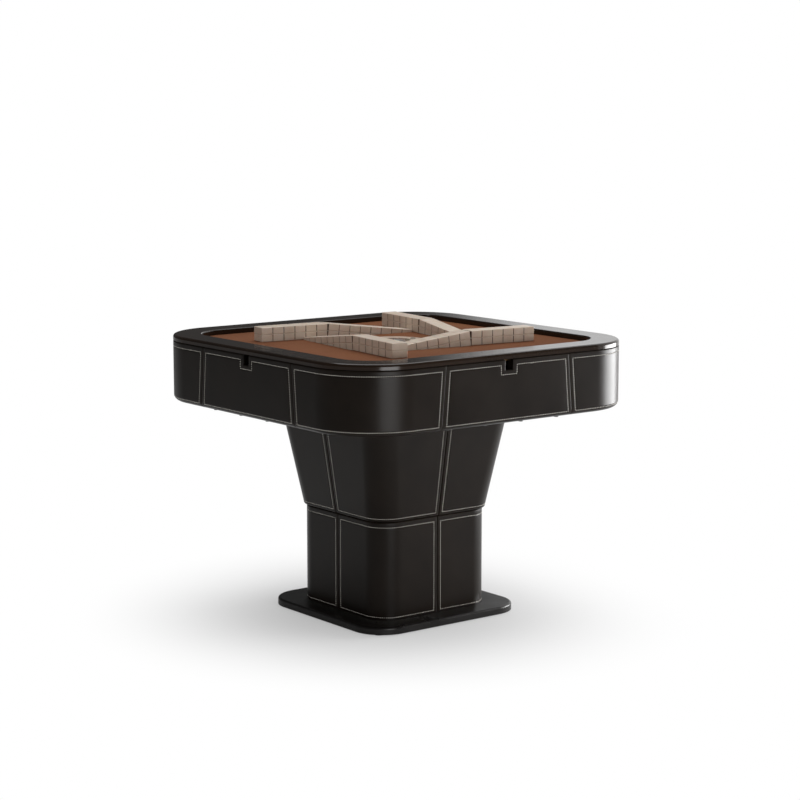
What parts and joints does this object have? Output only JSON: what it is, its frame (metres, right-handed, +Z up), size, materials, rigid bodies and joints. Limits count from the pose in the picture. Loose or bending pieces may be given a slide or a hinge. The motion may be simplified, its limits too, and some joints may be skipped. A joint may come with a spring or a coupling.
{
  "type": "automatic mahjong table",
  "caption": "Square pedestal mahjong table with a leather skirt, drawers, a lifting centre console, a mixing machine and risen tile walls.",
  "frame": {"origin": "on the floor under the middle of the table", "axes": "+Z up; -Y is the front side, the right visible side in the picture"},
  "size_m": [0.97, 0.97, 0.7846],
  "materials": {
    "base_coat": "satin powder coat",
    "black_plastic": "matt",
    "black_steel": "black oxide",
    "board": "sealed board",
    "body_leather": "satin smooth leather",
    "button": "gloss",
    "carcass": "raw plywood",
    "clear": "clear",
    "cloth": "matt woven cloth",
    "console_shell": "satin",
    "dark_plastic": "matt",
    "dice": "polished",
    "dice_plate": "matt",
    "glide": "matt",
    "machine_metal": "satin",
    "machine_plastic": "matt",
    "rim_leather": "satin leather",
    "rubber": "matt",
    "stained_board": "black stained board",
    "steel": "brushed",
    "tile": "polished",
    "tray": "dark lacquered board"
  },
  "bodies": {
    "table": {"base_glides": "glide", "base_plate": "base_coat", "chassis_pan": "stained_board", "control_box": "machine_metal", "disc_motor": "machine_metal", "drawer_runners": "steel", "lift_guide": "steel", "lower_panel_back_left": "body_leather", "lower_panel_back_right": "body_leather", "lower_panel_front_left": "body_leather", "lower_panel_front_right": "body_leather", "mixing_bowl": "machine_plastic", "pan_screws": "black_steel", "pedestal_carcass": "carcass", "play_board": "board", "play_cloth": "cloth", "power_inlet": "black_plastic", "ramp_chutes": "steel", "rim_frame": "rim_leather", "skirt_corner_back_left": "body_leather", "skirt_corner_back_right": "body_leather", "skirt_corner_front_left": "body_leather", "skirt_corner_front_right": "body_leather", "skirt_frame": "stained_board", "tile_row_back": "tile", "tile_row_front": "tile", "tile_row_left": "tile", "tile_row_right": "tile", "upper_panel_back_left": "body_leather", "upper_panel_back_right": "body_leather", "upper_panel_front_left": "body_leather", "upper_panel_front_right": "body_leather"},
    "drawer_front": {"drawer_front_front": "body_leather", "drawer_tray_front": "tray"},
    "drawer_right": {"drawer_front_right": "body_leather", "drawer_tray_right": "tray"},
    "drawer_back": {"drawer_front_back": "body_leather", "drawer_tray_back": "tray"},
    "drawer_left": {"drawer_front_left": "body_leather", "drawer_tray_left": "tray"},
    "pusher_front": {"ramp_pusher_front": "dark_plastic"},
    "pusher_right": {"ramp_pusher_right": "dark_plastic"},
    "pusher_back": {"ramp_pusher_back": "dark_plastic"},
    "pusher_left": {"ramp_pusher_left": "dark_plastic"},
    "console": {"console_body": "console_shell", "console_dome": "clear", "console_post": "steel"},
    "dice_turner": {"dice_plate": "dice_plate", "dice": "dice"},
    "button_front": {"roll_button_front": "button"},
    "button_right": {"roll_button_right": "button"},
    "button_back": {"roll_button_back": "button"},
    "button_left": {"roll_button_left": "button"},
    "mixer": {"mixing_disc": "machine_plastic"},
    "mixer_drive": {"drive_wheel": "rubber"},
    "rocker": {"power_rocker": "black_plastic"}
  },
  "joints": [
    {"name": "drawer_front_slide", "type": "slide", "parent": "table", "child": "drawer_front", "axis": [0, -1, 0], "range_m": [0, 0.095]},
    {"name": "drawer_right_slide", "type": "slide", "parent": "table", "child": "drawer_right", "axis": [1, 0, 0], "range_m": [0, 0.095]},
    {"name": "drawer_back_slide", "type": "slide", "parent": "table", "child": "drawer_back", "axis": [0, 1, 0], "range_m": [0, 0.095]},
    {"name": "drawer_left_slide", "type": "slide", "parent": "table", "child": "drawer_left", "axis": [-1, 0, 0], "range_m": [0, 0.095]},
    {"name": "pusher_front_slide", "type": "slide", "parent": "table", "child": "pusher_front", "axis": [-0.9858, 0.1158, -0.1219], "range_m": [0, 0.05]},
    {"name": "pusher_right_slide", "type": "slide", "parent": "table", "child": "pusher_right", "axis": [-0.1158, -0.9858, -0.1219], "range_m": [0, 0.05]},
    {"name": "pusher_back_slide", "type": "slide", "parent": "table", "child": "pusher_back", "axis": [0.9858, -0.1158, -0.1219], "range_m": [0, 0.05]},
    {"name": "pusher_left_slide", "type": "slide", "parent": "table", "child": "pusher_left", "axis": [0.1158, 0.9858, -0.1219], "range_m": [0, 0.05]},
    {"name": "console_lift", "type": "slide", "parent": "table", "child": "console", "axis": [0, 0, 1], "range_m": [0, 0.045]},
    {"name": "dice_plate_spin", "type": "hinge", "parent": "console", "child": "dice_turner", "pos_m": [0, 0, 0.738], "axis": [0, 0, 1], "continuous": true},
    {"name": "roll_button_front_press", "type": "slide", "parent": "console", "child": "button_front", "axis": [0, 0, -1], "range_m": [0, 0.0015], "stiffness_N_per_m": 600, "springref_m": -0.0015},
    {"name": "roll_button_right_press", "type": "slide", "parent": "console", "child": "button_right", "axis": [0, 0, -1], "range_m": [0, 0.0015], "stiffness_N_per_m": 600, "springref_m": -0.0015},
    {"name": "roll_button_back_press", "type": "slide", "parent": "console", "child": "button_back", "axis": [0, 0, -1], "range_m": [0, 0.0015], "stiffness_N_per_m": 600, "springref_m": -0.0015},
    {"name": "roll_button_left_press", "type": "slide", "parent": "console", "child": "button_left", "axis": [0, 0, -1], "range_m": [0, 0.0015], "stiffness_N_per_m": 600, "springref_m": -0.0015},
    {"name": "mixing_disc_spin", "type": "hinge", "parent": "table", "child": "mixer", "pos_m": [0, 0, 0.637], "axis": [0, 0, 1], "continuous": true},
    {"name": "drive_wheel_spin", "type": "hinge", "parent": "table", "child": "mixer_drive", "pos_m": [0.14315, 0, 0.626], "axis": [0, 0, 1], "continuous": true},
    {"name": "power_rocker_tilt", "type": "hinge", "parent": "table", "child": "rocker", "pos_m": [0.0135, 0.37, 0.57], "axis": [0, -1, 0], "range_deg": [0, 16]}
  ],
  "couplings": [
    {"joint": "drive_wheel_spin", "follows": "mixing_disc_spin", "ratio": -4.72}
  ]
}
